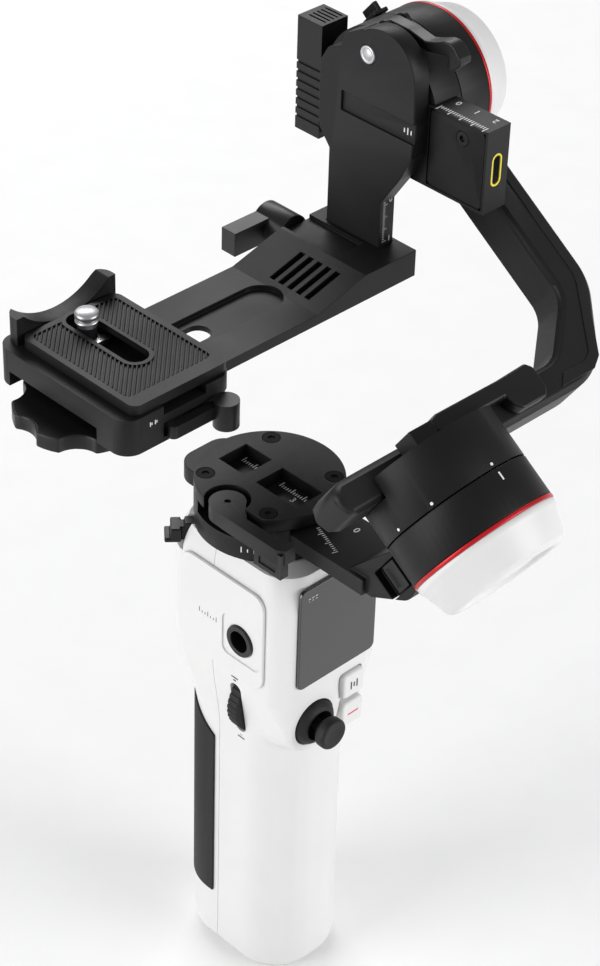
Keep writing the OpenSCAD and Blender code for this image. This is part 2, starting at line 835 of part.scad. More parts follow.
module qr_lock_lever() {
  color(satin_black) {
    translate([-42, qr_y0 - 2.4, 201.1]) cylinder(r = 1.6, h = 3.6);
    block([-42, qr_y0 - 4, 201.1], [-27, qr_y0 - 1.4, 204.7]);
    translate([-26.6, qr_y0 - 4.7, 198.4]) cylinder(r = 3.4, h = 7.6);
  }
}

module qr_plate() {
  pad_margin = 2.2;
  color(black) difference() {
    union() {
      translate([qr_x, (qr_y0 + qr_y1) / 2, qr_z]) linear_extrude(pad_z - qr_z - 0.6)
        rounded_rect(qr_x1 - qr_x0, qr_y1 - qr_y0, 2.5);
      translate([qr_x, (qr_y0 + qr_y1) / 2, pad_z - 0.7]) linear_extrude(0.7)
        rounded_rect(qr_x1 - qr_x0 - pad_margin, qr_y1 - qr_y0 - 2 * pad_margin, 2);
    }
    translate([qr_x, slot_y + 1.4, qr_z - 1]) rotate([0, 0, 90]) linear_extrude(10)
      slot_shape(28, 3.5);
    translate([qr_x, slot_y + 1.4, qr_z - 0.1]) rotate([0, 0, 90]) linear_extrude(1.3)
      slot_shape(33, 5.4);
  }
}

module screw_carriage() {
  color(steel) translate([qr_x, 29.4, qr_z - 1.6]) difference() {
    translate([0, 0, 0]) linear_extrude(1.4) rounded_rect(10, 9, 2);
    translate([0, 0, -1]) cylinder(r = 2.2 + fit, h = 5);
  }
}

// Captive screw: a plain neck in the slot, full thread above the seat
module camera_screw() {
  color(steel) translate([qr_x, 29.4, qr_z - 2.4]) {
    cylinder(r = 4, h = 0.7);
    cylinder(r = 2.2, h = 4);
    translate([0, 0, 2.5]) cylinder(r = 2.6, h = pad_z - qr_z);
    translate([0, 0, pad_z - qr_z + 2.4]) cylinder(r = quarter_r, h = screw_top - pad_z);
  }
}

handle_user_shell();
handle_trigger_shell();
tripod_socket();
grip_rubber();
side_panel();
side_port_socket();
display_glass();
main_board();
battery_cells();
joystick_boot();
pan_motor_housing();
pan_motor_core();
pan_bearing();
joystick_ring();
joystick_cap();
mode_button();
record_button();
control_wheel();
trigger();
pan_lock_slider();
pan_rotor_bell();
pan_clamp_block();
pan_disc();
disc_screws();
pan_clamp_lever();
pan_arm_bar();
roll_motor_housing();
roll_motor_core();
roll_bearing();
roll_red_ring();
roll_motor_cap();
roll_lock_slider();
roll_rotor_bell();
roll_clamp_block();
roll_clamp_lever();
roll_arm();
tilt_motor_housing();
tilt_motor_core();
tilt_bearing();
tilt_red_ring();
tilt_motor_cap();
tilt_lock_slider();
tilt_rotor_bell();
tilt_clamp_block();
tilt_clamp_lever();
tilt_rail();
rail_cover();
rail_screw();
control_port();
fill_light_lens();
camera_plate();
plate_pin();
base_plate();
wing_knob();
qr_clamp();
clamp_wheel();
qr_lock_lever();
qr_plate();
screw_carriage();
camera_screw();
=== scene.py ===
import json
import math

import bmesh
import bpy
from mathutils import Matrix, Vector


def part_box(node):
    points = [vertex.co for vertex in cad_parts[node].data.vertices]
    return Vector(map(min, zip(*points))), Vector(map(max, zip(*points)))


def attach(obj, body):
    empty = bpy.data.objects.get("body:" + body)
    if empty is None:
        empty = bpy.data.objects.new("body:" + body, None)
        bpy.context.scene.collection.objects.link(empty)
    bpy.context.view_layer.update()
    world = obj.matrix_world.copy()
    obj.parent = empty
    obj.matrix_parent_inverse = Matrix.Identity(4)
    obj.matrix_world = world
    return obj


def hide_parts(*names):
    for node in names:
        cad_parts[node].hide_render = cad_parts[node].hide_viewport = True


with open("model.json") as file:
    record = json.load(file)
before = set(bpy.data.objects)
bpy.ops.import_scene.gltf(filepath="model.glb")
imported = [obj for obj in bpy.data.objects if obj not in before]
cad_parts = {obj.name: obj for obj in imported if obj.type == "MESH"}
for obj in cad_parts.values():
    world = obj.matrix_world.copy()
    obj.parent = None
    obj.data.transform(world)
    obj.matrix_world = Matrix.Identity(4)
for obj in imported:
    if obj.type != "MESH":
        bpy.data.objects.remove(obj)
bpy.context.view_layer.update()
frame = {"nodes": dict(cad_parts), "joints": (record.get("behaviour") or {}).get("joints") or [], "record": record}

MM = 0.001

# ---------------------------------------------------------------- places taken from the frame

RECORD = frame["record"]
NODES = frame["nodes"]
JOINTS = {j["name"]: j for j in frame["joints"]}
BODY_OF = {n: b for b, ns in RECORD["behaviour"]["bodies"].items() for n in ns}


def low(node):
    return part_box(node)[0] / MM


def high(node):
    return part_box(node)[1] / MM


def joint_place(name):
    return Vector(JOINTS[name]["pos_m"]) / MM


ROLL_AXIS = Vector(JOINTS["roll"]["axis"]).normalized()
ROLL_UP = Vector((0, -ROLL_AXIS.z, ROLL_AXIS.y))
ROLL_ORIGIN = joint_place("roll")
TILT = joint_place("tilt")
STICK = joint_place("stick_up_down")
WHEEL = joint_place("wheel_turn")
PAN_LEVER = joint_place("pan_lever_swing")
DISC_TOP = high("pan_disc").z
# Radius of the motor housings, and the two flat levels on top of the sliding pan bar
MOTOR_R = 20.3
BAR_TOP_Z = 159.0
STRIP_TOP_Z = DISC_TOP - 3.8


def roll_place(x, a, h):
    """Millimetres in the roll frame to the row frame: x across, a up the axis, h square to it."""
    return ROLL_ORIGIN + Vector((x, 0, 0)) + ROLL_AXIS * a + ROLL_UP * h


# ---------------------------------------------------------------- mesh helpers, in millimetres

def new_object(name, mesh):
    obj = bpy.data.objects.new(name, mesh)
    bpy.context.scene.collection.objects.link(obj)
    return obj


def from_bmesh(name, bm, smooth=True):
    bmesh.ops.recalc_face_normals(bm, faces=bm.faces)
    for v in bm.verts:
        v.co *= MM
    mesh = bpy.data.meshes.new(name)
    bm.to_mesh(mesh)
    bm.free()
    for p in mesh.polygons:
        p.use_smooth = smooth
    return new_object(name, mesh)


def apply_modifiers(obj):
    graph = bpy.context.evaluated_depsgraph_get()
    mesh = bpy.data.meshes.new_from_object(obj.evaluated_get(graph))
    obj.modifiers.clear()
    obj.data = mesh


def soften(obj, width, segments=3, angle=32):
    """Rounds every sharp edge of a piece and evens out its shading."""
    weld = obj.modifiers.new("weld", "WELD")
    weld.merge_threshold = 1e-6
    flat = obj.modifiers.new("flat", "DECIMATE")
    flat.decimate_type = "DISSOLVE"
    flat.angle_limit = math.radians(0.6)
    bevel = obj.modifiers.new("bevel", "BEVEL")
    bevel.width = width * MM
    bevel.segments = segments
    bevel.limit_method = "ANGLE"
    bevel.angle_limit = math.radians(angle)
    bevel.use_clamp_overlap = True
    bevel.harden_normals = True
    return obj


def prism(name, outline, place, length, width=0.4, segments=3):
    """An outline of (u, v) points pushed along w, where place(u, v, w) gives the row frame."""
    bm = bmesh.new()
    near = [bm.verts.new(place(u, v, 0)) for u, v in outline]
    far = [bm.verts.new(place(u, v, length)) for u, v in outline]
    bm.faces.new(near)
    bm.faces.new(far[::-1])
    count = len(outline)
    for i in range(count):
        k = (i + 1) % count
        bm.faces.new((near[i], near[k], far[k], far[i]))
    obj = from_bmesh(name, bm)
    return soften(obj, width, segments) if width else obj


def box(name, lo, hi, width=0.4, segments=3):
    lo, hi = Vector(lo), Vector(hi)
    outline = [(lo.x, lo.y), (hi.x, lo.y), (hi.x, hi.y), (lo.x, hi.y)]
    return prism(name, outline, lambda u, v, w: Vector((u, v, lo.z + w)), hi.z - lo.z, width, segments)


def round_outline(w, h, r, steps=8):
    """A rounded rectangle centred on zero."""
    points = []
    for cx, cy, start in ((1, 1, 0), (-1, 1, 90), (-1, -1, 180), (1, -1, 270)):
        for i in range(steps + 1):
            t = math.radians(start + 90 * i / steps)
            points.append((cx * (w / 2 - r) + r * math.cos(t), cy * (h / 2 - r) + r * math.sin(t)))
    return points


def lathe(name, profile, centre, axis, steps=96, smooth=True):
    """Turns a profile of (radius, height) points about an axis."""
    axis = Vector(axis).normalized()
    turn = axis.to_track_quat("Z", "Y").to_matrix()
    centre = Vector(centre)
    bm = bmesh.new()
    rings = []
    for r, z in profile:
        if r < 1e-4:
            rings.append([bm.verts.new(centre + turn @ Vector((0, 0, z)))])
            continue
        ring = []
        for i in range(steps):
            t = 2 * math.pi * i / steps
            ring.append(bm.verts.new(centre + turn @ Vector((r * math.cos(t), r * math.sin(t), z))))
        rings.append(ring)
    for a, b in zip(rings, rings[1:]):
        if len(a) == len(b) == 1:
            continue
        for i in range(steps):
            k = (i + 1) % steps
            if len(a) == 1:
                bm.faces.new((a[0], b[i], b[k]))
            elif len(b) == 1:
                bm.faces.new((a[i], a[k], b[0]))
            else:
                bm.faces.new((a[i], a[k], b[k], b[i]))
    return from_bmesh(name, bm, smooth)


def cut(obj, cutter, operation="DIFFERENCE"):
    mod = obj.modifiers.new("cut", "BOOLEAN")
    mod.object = cutter
    mod.operation = operation
    mod.solver = "EXACT"
    apply_modifiers(obj)
    bpy.data.objects.remove(cutter, do_unlink=True)


def join(name, objects):
    bm = bmesh.new()
    graph = bpy.context.evaluated_depsgraph_get()
    for o in objects:
        mesh = bpy.data.meshes.new_from_object(o.evaluated_get(graph))
        bm.from_mesh(mesh)
        bpy.data.meshes.remove(mesh)
        bpy.data.objects.remove(o, do_unlink=True)
    mesh = bpy.data.meshes.new(name)
    bm.to_mesh(mesh)
    bm.free()
    return new_object(name, mesh)


# ---------------------------------------------------------------- materials

def shader(name, color, rough, metallic=0.0, grain=2600, bump=0.06, vary=0.18, rough_vary=0.08,
           wear=0.0, coat=0.0, specular=0.5, stretch=(1, 1, 1)):
    """A moulded or coated surface: fine grain, cloudy colour and gloss, and rubbed edges."""
    mat = bpy.data.materials.new(name)
    mat.use_nodes = True
    nt = mat.node_tree
    bsdf = nt.nodes["Principled BSDF"]
    bsdf.inputs["Metallic"].default_value = metallic
    bsdf.inputs["Specular IOR Level"].default_value = specular
    bsdf.inputs["Coat Weight"].default_value = coat
    bsdf.inputs["Coat Roughness"].default_value = 0.08
    coords = nt.nodes.new("ShaderNodeTexCoord")
    mapping = nt.nodes.new("ShaderNodeMapping")
    mapping.inputs["Scale"].default_value = stretch
    nt.links.new(coords.outputs["Object"], mapping.inputs["Vector"])

    def noise(scale, detail):
        node = nt.nodes.new("ShaderNodeTexNoise")
        node.inputs["Scale"].default_value = scale
        node.inputs["Detail"].default_value = detail
        nt.links.new(mapping.outputs["Vector"], node.inputs["Vector"])
        return node

    fine, cloud = noise(grain, 2), noise(60, 5)
    ramp = nt.nodes.new("ShaderNodeValToRGB")
    ramp.color_ramp.elements[0].position = 0.3
    ramp.color_ramp.elements[1].position = 0.7
    ramp.color_ramp.elements[0].color = [c * (1 - vary) for c in color] + [1]
    ramp.color_ramp.elements[1].color = [min(1, c * (1 + vary)) for c in color] + [1]
    nt.links.new(cloud.outputs["Fac"], ramp.inputs["Fac"])
    base = ramp.outputs["Color"]
    if wear:
        geometry = nt.nodes.new("ShaderNodeNewGeometry")
        edge = nt.nodes.new("ShaderNodeMapRange")
        edge.inputs["From Min"].default_value = 0.515
        edge.inputs["From Max"].default_value = 0.60
        edge.inputs["To Max"].default_value = wear
        nt.links.new(geometry.outputs["Pointiness"], edge.inputs["Value"])
        mix = nt.nodes.new("ShaderNodeMix")
        mix.data_type = "RGBA"
        nt.links.new(edge.outputs["Result"], mix.inputs["Factor"])
        nt.links.new(base, mix.inputs[6])
        mix.inputs[7].default_value = [min(1, c * 2 + 0.03) for c in color] + [1]
        base = mix.outputs[2]
    nt.links.new(base, bsdf.inputs["Base Color"])
    gloss = nt.nodes.new("ShaderNodeMapRange")
    gloss.inputs["To Min"].default_value = max(0.02, rough - rough_vary)
    gloss.inputs["To Max"].default_value = min(1, rough + rough_vary)
    nt.links.new(cloud.outputs["Fac"], gloss.inputs["Value"])
    nt.links.new(gloss.outputs["Result"], bsdf.inputs["Roughness"])
    relief = nt.nodes.new("ShaderNodeBump")
    relief.inputs["Strength"].default_value = bump
    relief.inputs["Distance"].default_value = 0.0002
    nt.links.new(fine.outputs["Fac"], relief.inputs["Height"])
    nt.links.new(relief.outputs["Normal"], bsdf.inputs["Normal"])
    return mat


MATERIALS = {
    "white_shell": shader("white_shell", (0.74, 0.74, 0.735), 0.40, vary=0.015, bump=0.05, grain=3200),
    "grey_plastic": shader("grey_plastic", (0.58, 0.58, 0.58), 0.42, vary=0.03),
    "black_metal": shader("black_metal", (0.0046, 0.0046, 0.0049), 0.46, bump=0.2, wear=0.22, grain=3000,
                          specular=0.24),
    "black_lever": shader("black_lever", (0.0065, 0.0065, 0.0070), 0.36, bump=0.12, wear=0.3, grain=2400,
                          specular=0.28),
    "black_port": shader("black_port", (0.006, 0.006, 0.006), 0.22, bump=0.05, specular=0.4),
    "red_anodised": shader("red_anodised", (0.52, 0.006, 0.012), 0.32, metallic=0.35, bump=0.05),
    "steel": shader("steel", (0.74, 0.74, 0.75), 0.24, metallic=1.0, bump=0.10, vary=0.06,
                    stretch=(1, 1, 14), grain=900),
    "black_rubber": shader("black_rubber", (0.008, 0.008, 0.008), 0.58, bump=0.3, grain=1500,
                           specular=0.35),
    "display_black": shader("display_black", (0.012, 0.012, 0.013), 0.10, bump=0.0, coat=0.6,
                            rough_vary=0.03),
    "circuit_board": shader("circuit_board", (0.02, 0.12, 0.05), 0.4),
    "cell_wrap": shader("cell_wrap", (0.03, 0.13, 0.40), 0.25),
    "copper_winding": shader("copper_winding", (0.55, 0.25, 0.10), 0.35, metallic=0.9, grain=700,
                             bump=0.5, stretch=(1, 1, 6)),
    "gold_contact": shader("gold_contact", (0.80, 0.66, 0.06), 0.34, metallic=0.35),
    "light_diffuser": shader("light_diffuser", (0.80, 0.75, 0.60), 0.5),
}
# Screw black, darker and duller than the disc black. On the pan disc screws it is painted shade that makes them
# read as dark recessed holes. It also colours the camera screw neck.
SCREW_BLACK_AND_SHADE = shader("screw_black_and_painted_shade", (0.0025, 0.0025, 0.0025), 0.6, bump=0.1, specular=0.12)
SATIN_STEEL = shader("satin_steel", (0.50, 0.50, 0.51), 0.42, metallic=1.0, bump=0.03, vary=0.03)
PRINT_WHITE = shader("print_white", (0.85, 0.85, 0.85), 0.55, vary=0.08, bump=0.02)
PRINT_DARK = shader("print_dark", (0.03, 0.03, 0.03), 0.55, vary=0.1, bump=0.02)
PRINT_RED = shader("print_red", (0.65, 0.04, 0.05), 0.5, vary=0.05, bump=0.02)


def paint(obj, material):
    if not obj.material_slots:
        obj.data.materials.append(material)
        return
    for slot in obj.material_slots:
        slot.material = material


def finish_piece(obj, body, slot, material=None, stands_for=()):
    paint(obj, material or MATERIALS[slot])
    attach(obj, body)
    if stands_for:
        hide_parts(*stands_for)
    return obj


# ---------------------------------------------------------------- printed scales and marks

PRINT_T = 0.06


def marks(name, rects, origin, u, v, body, material, slot):
    """Thin raised rectangles (u, v, width, height) printed on a face."""
    origin, u, v = Vector(origin), Vector(u).normalized(), Vector(v).normalized()
    n = u.cross(v)
    bm = bmesh.new()
    for cu, cv, w, h in rects:
        corners = []
        for t in (-0.02, PRINT_T):
            for du, dv in ((-1, -1), (1, -1), (1, 1), (-1, 1)):
                at = origin + u * (cu + du * w / 2) + v * (cv + dv * h / 2) + n * t
                corners.append(bm.verts.new(at))
        lo, hi = corners[:4], corners[4:]
        bm.faces.new(lo[::-1])
        bm.faces.new(hi)
        for i in range(4):
            k = (i + 1) % 4
            bm.faces.new((lo[i], lo[k], hi[k], hi[i]))
    return finish_piece(from_bmesh(name, bm, smooth=False), body, slot, material)


def white_marks(name, rects, origin, u, v, body):
    return marks(name, rects, origin, u, v, body, PRINT_WHITE, "white_shell")


def dark_marks(name, rects, origin, u, v, body):
    return marks(name, rects, origin, u, v, body, PRINT_DARK, "black_port")


def scale_rects(count, pitch, short, long, every=5, thick=0.16):
    rects = []
    for i in range(count):
        size = long if i % every == 0 else short
        rects.append((i * pitch, size / 2, thick, size))
    return rects


def white_dot(name, centre, normal, radius, body):
    profile = [(0, PRINT_T), (radius * 0.7, PRINT_T), (radius, PRINT_T * 0.4), (radius, -0.1), (0, -0.1)]
    return finish_piece(lathe(name, profile, centre, normal, 24), body, "white_shell", PRINT_WHITE)


def white_number(name, text, origin, u, v, size, body):
    """A generic numeral of a scale."""
    curve = bpy.data.curves.new(name, "FONT")
    curve.body = text
    curve.size = size * MM
    curve.extrude = PRINT_T * MM / 2
    curve.resolution_u = 3
    curve.align_x = "CENTER"
    curve.align_y = "CENTER"
    holder = bpy.data.objects.new(name + "_text", curve)
    bpy.context.scene.collection.objects.link(holder)
    u, v = Vector(u).normalized(), Vector(v).normalized()
    n = u.cross(v)
    at = (Vector(origin) + n * PRINT_T / 2) * MM
    matrix = Matrix((u, v, n)).transposed().to_4x4()
    matrix.translation = at
    graph = bpy.context.evaluated_depsgraph_get()
    mesh = bpy.data.meshes.new_from_object(holder.evaluated_get(graph))
    mesh.transform(matrix)
    bpy.data.objects.remove(holder, do_unlink=True)
    return finish_piece(new_object(name, mesh), body, "white_shell", PRINT_WHITE)


# ---------------------------------------------------------------- CAD nodes kept as they are

EDGE_WIDTHS = {
    "pan_arm_bar": 1.1, "tilt_rail": 1.2, "camera_plate": 0.8, "base_plate": 1.3,
    "qr_clamp": 1.4, "pan_clamp_block": 0.5, "pan_disc": 0.5, "clamp_wheel": 1.1, "pan_lock_slider": 0.7,
    "roll_clamp_block": 0.5, "tilt_clamp_block": 0.5, "roll_motor_housing": 0.35,
    "tilt_motor_housing": 0.35, "wing_knob": 1.3, "joystick_cap": 0.5, "trigger": 1.0,
    "rail_cover": 0.25, "qr_lock_lever": 0.6, "tilt_lock_slider": 0.25, "roll_lock_slider": 0.5,
}
DEFAULT_EDGE = 0.2
SLOT_OF = {s["node"]: s["material_slot"] for s in RECORD["subparts"]}


def dress_cad_nodes():
    for name, obj in NODES.items():
        # The disc screws take the darker, duller screw black as painted shade of their recessed holes.
        paint(obj, SCREW_BLACK_AND_SHADE if name == "disc_screws" else MATERIALS[SLOT_OF[name]])
        soften(obj, EDGE_WIDTHS.get(name, DEFAULT_EDGE))


# ---------------------------------------------------------------- handle

def smooth(t):
    t = max(0.0, min(1.0, t))
    return t * t * (3 - 2 * t)


def handle_section(z):
    """Half width, half depth, centre y and corner radius of the handle at a height."""
    grip = (16.0, 21.0, -1.8, 13.9)
    head = (19.0, 24.0, -3.0, 8.0)
    top = (17.6, 21.6, -3.4, 9.5)
    if z < 4:
        t = math.sqrt(max(0.0, 1 - (1 - z / 4) ** 2))
        inset = 3.2 * (1 - t)
        return grip[0] - inset, grip[1] - inset, grip[2], grip[3] - inset
    if z < 84:
        return grip
    if z < 112:
        t = smooth((z - 84) / 28)
        return tuple(a + (b - a) * t for a, b in zip(grip, head))
    if z < 138:
        return head
    t = ((z - 138) / 11.7) ** 2.2
    return tuple(a + (b - a) * t for a, b in zip(head, top))


def section_ring(z, inset=0.0, edge=26, corner=14):
    half_w, half_d, yc, r = handle_section(z)
    half_w, half_d, r = half_w - inset, half_d - inset, max(1.0, r - inset)
    ring = []
    for cx, cy, start in ((1, 1, 0), (-1, 1, 90), (-1, -1, 180), (1, -1, 270)):
        centre = Vector((cx * (half_w - r), yc + cy * (half_d - r)))
        arc = [math.radians(start + 90 * i / corner) for i in range(corner + 1)]
        ring += [(centre.x + r * math.cos(t), centre.y + r * math.sin(t)) for t in arc]
        last = ring[-1]
        nx, ny = {0: (-1, 1), 90: (-1, -1), 180: (1, -1), 270: (1, 1)}[start]
        follow = Vector((nx * (half_w - r), yc + ny * (half_d - r)))
        step = {0: (0, r), 90: (-r, 0), 180: (0, -r), 270: (r, 0)}[start]
        end = (follow.x + step[0], follow.y + step[1])
        for i in range(1, edge):
            t = i / edge
            ring.append((last[0] + (end[0] - last[0]) * t, last[1] + (end[1] - last[1]) * t))
    return ring


MOUND_IN, MOUND_OUT, MOUND_FACE = 8.6, 13.0, -27.4


def handle_loft(name, z0, z1, step, inset=0.0, mound=True):
    count = max(2, round((z1 - z0) / step))
    heights = [z0 + (z1 - z0) * i / count for i in range(count + 1)]
    if z0 <= 0:
        heights = [0, 0.15, 0.5, 1.1, 2, 3] + [h for h in heights if h > 3.6]
    bm = bmesh.new()
    rings = []
    for z in heights:
        ring = []
        for x, y in section_ring(z, inset):
            if mound and y < -14:
                d = math.hypot(x - STICK.x, z - STICK.z)
                t = smooth((MOUND_OUT - d) / (MOUND_OUT - MOUND_IN))
                y += (min(y, MOUND_FACE) - y) * t
                ridge = math.exp(-((x + 8.8) / 1.7) ** 2) * smooth((z - 12) / 14) * smooth((84 - z) / 10)
                y -= 0.45 * ridge
            ring.append(bm.verts.new((x, y, z)))
        rings.append(ring)
    for a, b in zip(rings, rings[1:]):
        for i in range(len(a)):
            k = (i + 1) % len(a)
            bm.faces.new((a[i], a[k], b[k], b[i]))
    bm.faces.new(rings[0][::-1])
    bm.faces.new(rings[-1])
    return from_bmesh(name, bm)


def face_prism(name, cx, cz, w, h, r, y0, y1, width=0.0):
    """A rounded rectangle on the display side, from y0 to y1."""
    def place(u, v, t):
        return Vector((cx + u, y0 + t, cz + v))
    return prism(name, round_outline(w, h, r), place, y1 - y0, width)


def side_prism(name, cy, cz, w, h, r, x0, x1, width=0.0):
    def place(u, v, t):
        return Vector((x0 + t, cy + u, cz + v))
    return prism(name, round_outline(w, h, r), place, x1 - x0, width)


def build_handle():
    top = high("handle_user_shell").z
    split = high("handle_user_shell").y
    wall = 2.0
    shell = handle_loft("handle_outer", 0, top, 1.0)
    cut(shell, handle_loft("grip_inside", 11, 106, 3, wall, False))
    cut(shell, handle_loft("head_inside", 105, top - 2.2, 3, wall, False))

    lo, hi = low("display_glass"), high("display_glass")
    cut(shell, face_prism("display_pocket", 0, (lo.z + hi.z) / 2, hi.x - lo.x + 0.3, hi.z - lo.z + 0.3, 2,
                          lo.y - 4, hi.y + 0.1))
    bore = [(0, -9), (7.2, -9), (7.2, 12), (0, 12)]
    cut(shell, lathe("stick_hole", bore, (STICK.x, -20, STICK.z), (0, -1, 0), 64))
    for node in ("mode_button", "record_button"):
        mid = (low(node) + high(node)) / 2
        cut(shell, face_prism("key_hole", mid.x, mid.z, 8.7, 8.7, 1.4, -34, -14))
    cut(shell, side_prism("wheel_slot", WHEEL.y, WHEEL.z, 4.2, 18.4, 2.05, -24, -11))
    port_mid = (low("side_port_socket") + high("side_port_socket")) / 2
    cut(shell, lathe("port_hole", [(0, -14), (4.8, -14), (4.8, 6), (0, 6)],
                     (low("side_port_socket").x, port_mid.y, port_mid.z), (-1, 0, 0), 64))
    lo, hi = low("trigger"), high("trigger")
    cut(shell, box("trigger_slot", (lo.x - 0.5, 12, lo.z - 0.6), (hi.x + 0.5, 30, hi.z + 0.8), 0))
    cut(shell, lathe("shaft_hole", [(0, -8), (4.6, -8), (4.6, 4), (0, 4)], (0, 0, top), (0, 0, 1), 64))
    cut(shell, lathe("foot_hole", [(0, -3), (6.05, -3), (6.05, 9.1), (0, 9.1)], (0, 0, 0), (0, 0, 1), 64))
    lock_mid = (low("pan_lock_slider") + high("pan_lock_slider")) / 2
    reach = Vector((lock_mid.x, lock_mid.y, 0)).normalized()
    side = Vector((-reach.y, reach.x, 0))

    def lock_place(u, v, t):
        return reach * u + side * v + Vector((0, 0, 141 + t))

    cut(shell, prism("lock_slot", [(16.8, -2.3), (30, -2.3), (30, 2.3), (16.8, 2.3)], lock_place, 14, 0))

    # The two shells meet with a hairline gap
    seam = 0.07
    rear = new_object("handle_rear_skin", shell.data.copy())
    shell.name = "handle_front_skin"
    cut(shell, box("user_half", (-60, -80, -9), (60, split - seam, 190), 0), "INTERSECT")
    cut(rear, box("rear_half", (-60, split + seam, -9), (60, 80, 190), 0), "INTERSECT")
    for part in (shell, rear):
        for p in part.data.polygons:
            p.use_smooth = True
        soften(part, 0.28, 2, 38)
    finish_piece(shell, "handle", "white_shell", stands_for=("handle_user_shell",))
    finish_piece(rear, "handle", "white_shell", stands_for=("handle_trigger_shell",))
    return port_mid


def build_controls(port_mid):
    for node in ("mode_button", "record_button"):
        lo, hi = low(node), high(node)
        mid = (lo + hi) / 2
        frame_ring = face_prism(node + "_frame", mid.x, mid.z, 11.6, 11.6, 2.4, hi.y - 3.2, hi.y - 0.4, 0)
        cut(frame_ring, face_prism("hole", mid.x, mid.z, 8.7, 8.7, 1.4, -40, -10))
        soften(frame_ring, 0.5, 3, 40)
        finish_piece(frame_ring, "handle", "white_shell")
        body = BODY_OF[node]
        key = face_prism(node + "_key", mid.x, mid.z, 8.1, 8.1, 1.5, lo.y, hi.y - 1.6, 0.9)
        finish_piece(key, body, "white_shell", stands_for=(node,))
        face = lo.y
        if node == "mode_button":
            rects = [(-1.1, 0, 0.45, 2.6), (1.1, 0, 0.45, 2.6), (0, 0, 0.45, 1.5)]
            dark_marks("mode_mark", rects, (mid.x, face, mid.z), (1, 0, 0), (0, 0, 1), body)
        else:
            marks("record_mark", [(0, 0, 3.9, 0.45)], (mid.x, face, mid.z), (1, 0, 0), (0, 0, 1), body,
                  PRINT_RED, "red_anodised")

    # Raised side panel with a stepped recess round its threaded port
    lo, hi = low("side_panel"), high("side_panel")
    mid = (lo + hi) / 2
    panel = side_prism("side_panel_skin", mid.y, mid.z, hi.y - lo.y, hi.z - lo.z, 4, lo.x, hi.x, 0)
    recess = side_prism("recess", port_mid.y - 0.6, port_mid.z, 14.5, 13.6, 2.4, lo.x - 2, lo.x + 0.55)
    cut(panel, recess)
    cut(panel, lathe("port_hole", [(0, -14), (4.8, -14), (4.8, 6), (0, 6)],
                     (lo.x, port_mid.y, port_mid.z), (-1, 0, 0), 64))
    soften(panel, 0.35, 3, 40)
    finish_piece(panel, "handle", "white_shell", stands_for=("side_panel",))
    rects = scale_rects(7, 1.1, 0.7, 1.5, 3, 0.2)
    dark_marks("port_marks", rects, (lo.x, port_mid.y + 15.5, port_mid.z + 1.5), (0, -1, 0), (0, 0, 1),
               "handle")

    # Direction marks over and under the control wheel
    for s, name in ((1, "up"), (-1, "down")):
        z = WHEEL.z + s * 11.6
        x = -handle_section(z)[0]
        dark_marks("wheel_mark_" + name, [(0, 0, 2.6, 0.4), (0, -1.0 * s, 1.0, 0.35)], (x, WHEEL.y, z),
                   (0, -1, 0), (0, 0, 1), "handle")

    # Status marks on the display glass
    glass_lo, glass_hi = low("display_glass"), high("display_glass")
    rects = []
    for i in range(3):
        rects.append((i * 1.3, 0, 0.8, 0.25))
        rects.append((i * 1.3, -0.9, 0.25 + 0.2 * i, 0.25))
    marks("display_marks", rects, (glass_lo.x + 3.0, glass_lo.y, glass_hi.z - 3.0), (1, 0, 0), (0, 0, 1),
          "handle", MATERIALS["grey_plastic"], "grey_plastic")


# ---------------------------------------------------------------- pan axis

def build_pan_lever():
    """Round hub, straight blade and a thumb tab that hangs down at the tip."""
    hub = PAN_LEVER
    lo, hi = low("pan_clamp_lever"), high("pan_clamp_lever")

    def flat(z):
        return lambda u, v, w: Vector((u, v, z + w))

    hub_r = 5.0
    arc = [(hub.x + hub_r * math.cos(t), hub.y + hub_r * math.sin(t))
           for t in (math.radians(a) for a in range(-60, 181, 12))]
    tip_y = lo.y
    blade = arc + [(lo.x, hub.y - 6), (lo.x, tip_y + 2), (lo.x + 1.4, tip_y), (lo.x + 5.0, tip_y),
                   (lo.x + 5.2, tip_y + 2.2), (lo.x + 3.6, tip_y + 4), (lo.x + 3.6, hub.y - 9)]
    lever = prism("pan_lever_skin", blade, flat(hi.z - 5.0), 4.6, 0)
    tab_x = lo.x + 0.05
    skirt = [(tab_x, tip_y + 0.3), (tab_x + 2.8, tip_y + 0.3), (tab_x + 2.8, tip_y + 9),
             (tab_x + 1.4, tip_y + 10.2), (tab_x, tip_y + 10.2)]
    cut(lever, prism("tab", skirt, flat(lo.z), hi.z - 1.6 - lo.z, 0), "UNION")
    cut(lever, box("tab_recess", (lo.x - 1, tip_y + 2.2, lo.z + 1.4),
                   (tab_x + 0.35, tip_y + 8.4, hi.z - 5.6), 0))
    cut(lever, lathe("dimple", [(0, -0.5), (0.9, -0.5), (0.9, 2), (0, 2)],
                     (hub.x, hub.y, hi.z - 0.4), (0, 0, 1), 32))
    finish_piece(soften(lever, 0.6, 3, 36), "pan_lever", "black_lever", stands_for=("pan_clamp_lever",))


